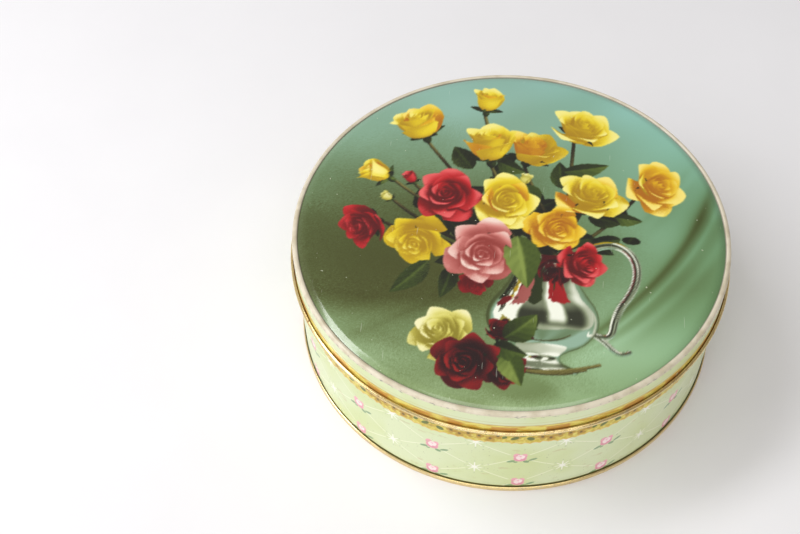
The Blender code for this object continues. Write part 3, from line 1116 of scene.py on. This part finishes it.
def picture_panel(material):
    """The printed skin of the panel: a fine grid on top and a plain fan below."""
    u, v = disc_places(PICTURE_GRID)
    edge = bevel_path(1)[-1][0]
    radius = np.hypot(u, v) * edge
    sag = 0.10 * np.sin(u * 4 + 1) * np.cos(v * 5) * (1 - (radius / edge) ** 2)
    level = picture_height(radius) + np.minimum(sag, 0)
    top = np.stack([u * edge, v * edge, level], 1)
    side = PICTURE_GRID + 1
    index = np.arange(side * side).reshape(side, side)
    corner = index[:-1, :-1].ravel()
    faces = np.stack([corner, corner + 1, corner + side + 1, corner + side], 1)
    rim = np.concatenate([index[0, :-1], index[:-1, -1], index[-1, :0:-1], index[:0:-1, 0]])
    below = top[rim] - (0, 0, PRINT_SKIN)
    first = len(top)
    centre = first + len(rim)
    points = np.concatenate([top, below, [(0, 0, LID_HIGH.z - 2 * PRINT_SKIN - 0.1)]]) * MM
    low = first + np.arange(len(rim))
    wall = np.stack([rim, low, np.roll(low, -1), np.roll(rim, -1)], 1)
    fan = np.stack([low, np.full(len(rim), centre), np.roll(low, -1)], 1)
    every_face = faces.tolist() + wall.tolist() + fan.tolist()
    piece = new_mesh("lid_picture", points, every_face, [material])
    weld(piece)
    ink_points(piece.data, u, v)
    return piece


def ink_points(mesh, u, v):
    """Stores the picture's colour at each point of the print."""
    rng = np.random.default_rng(5)
    still = still_life()
    spread = 2 * SAMPLE_SPREAD / PICTURE_GRID
    turns = rng.uniform(0, 2 * math.pi, len(u))
    total = np.zeros((len(u), 3))
    for index in range(PICTURE_SAMPLES):
        right = spread * ((SAMPLE_STEPS[0] * index + turns) % 1 - 0.5)
        up = spread * ((SAMPLE_STEPS[1] * index + 3 * turns) % 1 - 0.5)
        total += colours(still, u + right, v + up, turns, index, PICTURE_SAMPLES)
    shades = np.zeros((len(mesh.vertices), 4))
    shades[:, 3] = 1
    shades[:len(u), :3] = linear(np.clip(total / PICTURE_SAMPLES, 0, 1))
    layer = mesh.color_attributes.new("ink", "FLOAT_COLOR", "POINT")
    layer.data.foreach_set("color", shades.ravel())


# ---- the tin
rim = rim_print()
inside = lacquer()
lid_picture = picture_panel(picture_print())
curl_top = LID_LOW.z + SHEET + 2 * CURL_RADIUS
lid_tinplate = turned("lid_tinplate", lid_path(), [rim, inside, gilt("curl_gilt", 0.6, 7)],
                      curl_below=curl_top)
wall = turned("wall_tinplate", wall_path(), [wall_print(), inside], shape_wall)
base = turned("base_tinplate", base_path(), [gilt("base_gilt", 0.25, 45), inside])

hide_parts("lid_shell")
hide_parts("lid_shell")
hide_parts("body_wall")
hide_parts("base_disc")
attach(lid_tinplate, "lid")
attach(lid_picture, "lid")
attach(wall, "tin_body")
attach(base, "tin_body")


# ---- studio
CAMERA_PLACE = Vector((0.0, -0.3957, 0.5568))
CAMERA_TARGET = Vector((-0.0619, 0.0248, 0.0))
CAMERA_ROLL = math.radians(-2.39)
CAMERA_LENS = 53.9


def camera():
    data = bpy.data.cameras.new("camera")
    data.lens = CAMERA_LENS
    data.sensor_width = 36
    data.clip_start = 0.01
    viewer = bpy.data.objects.new("camera", data)
    bpy.context.scene.collection.objects.link(viewer)
    ahead = (CAMERA_TARGET - CAMERA_PLACE).normalized()
    level = ahead.to_track_quat("-Z", "Y").to_matrix().to_4x4()
    viewer.matrix_world = (Matrix.Translation(CAMERA_PLACE) @ level
                           @ Matrix.Rotation(CAMERA_ROLL, 4, "Z"))
    bpy.context.scene.camera = viewer


def floor():
    """A wide pale board, a little grey and faintly mottled."""
    bpy.ops.mesh.primitive_plane_add(size=6)
    board = bpy.context.object
    board.name = "floor"
    paint = Paint("floor_paint")
    tone = paint.over(BOARD, BOARD_DULL, paint.noise(60, 3))
    paint.set(base_color=tone, roughness=0.7)
    paint.bump(paint.noise(1.5, 2), 0.01)
    board.data.materials.append(paint.material)


def lamp(name, place, target, size, power, roll=0.0):
    data = bpy.data.lights.new(name, "AREA")
    data.shape = "RECTANGLE"
    data.size, data.size_y = size
    data.energy = power
    light = bpy.data.objects.new(name, data)
    bpy.context.scene.collection.objects.link(light)
    ahead = (Vector(target) - Vector(place)).to_track_quat("-Z", "Y").to_matrix().to_4x4()
    light.matrix_world = (Matrix.Translation(place) @ ahead
                          @ Matrix.Rotation(math.radians(roll), 4, "Z"))


def world():
    """A white room, brightest at the left and in front, and dimmer and warmer at the right."""
    room_light = bpy.data.worlds.new("room")
    room_light.use_nodes = True
    tree = room_light.node_tree
    place = tree.nodes.new("ShaderNodeTexCoord")
    split = tree.nodes.new("ShaderNodeSeparateXYZ")
    tree.links.new(place.outputs["Generated"], split.inputs[0])
    product = tree.nodes.new("ShaderNodeMath")
    product.operation = "MULTIPLY"
    tint = tree.nodes.new("ShaderNodeMix")
    tint.data_type = "RGBA"
    tint.inputs[6].default_value = (0.96, 0.98, 1, 1)
    tint.inputs[7].default_value = (1, 0.93, 0.80, 1)
    ramps = ((product.inputs[0], "X", 0.64, 0.25), (product.inputs[1], "Y", 0.98, 0.92),
             (tint.inputs[0], "X", 0, 1))
    for slot, axis, low, high in ramps:
        ramp = tree.nodes.new("ShaderNodeMapRange")
        ramp.inputs["From Min"].default_value = -1
        ramp.inputs["From Max"].default_value = 1
        ramp.inputs["To Min"].default_value = low
        ramp.inputs["To Max"].default_value = high
        tree.links.new(split.outputs[axis], ramp.inputs["Value"])
        tree.links.new(ramp.outputs["Result"], slot)
    back = tree.nodes["Background"]
    tree.links.new(tint.outputs[2], back.inputs["Color"])
    tree.links.new(product.outputs[0], back.inputs["Strength"])
    bpy.context.scene.world = room_light


camera()
floor()
world()
lamp("window", (-0.93, 0.06, 1.20), (0, 0, 0.05), (0.34, 1.15), 8.7, 49)
lamp("side_window", (-1.15, -0.40, 0.72), (0, 0, 0.05), (0.8, 0.7), 4.4)
lamp("skylight", (0.10, -0.75, 1.60), (0, 0, 0.05), (1.4, 0.8), 7)
lamp("front_window", (0.15, -1.6, 0.40), (0, 0, 0.05), (1.8, 0.4), 6.6)
bpy.context.scene.view_settings.view_transform = "Standard"
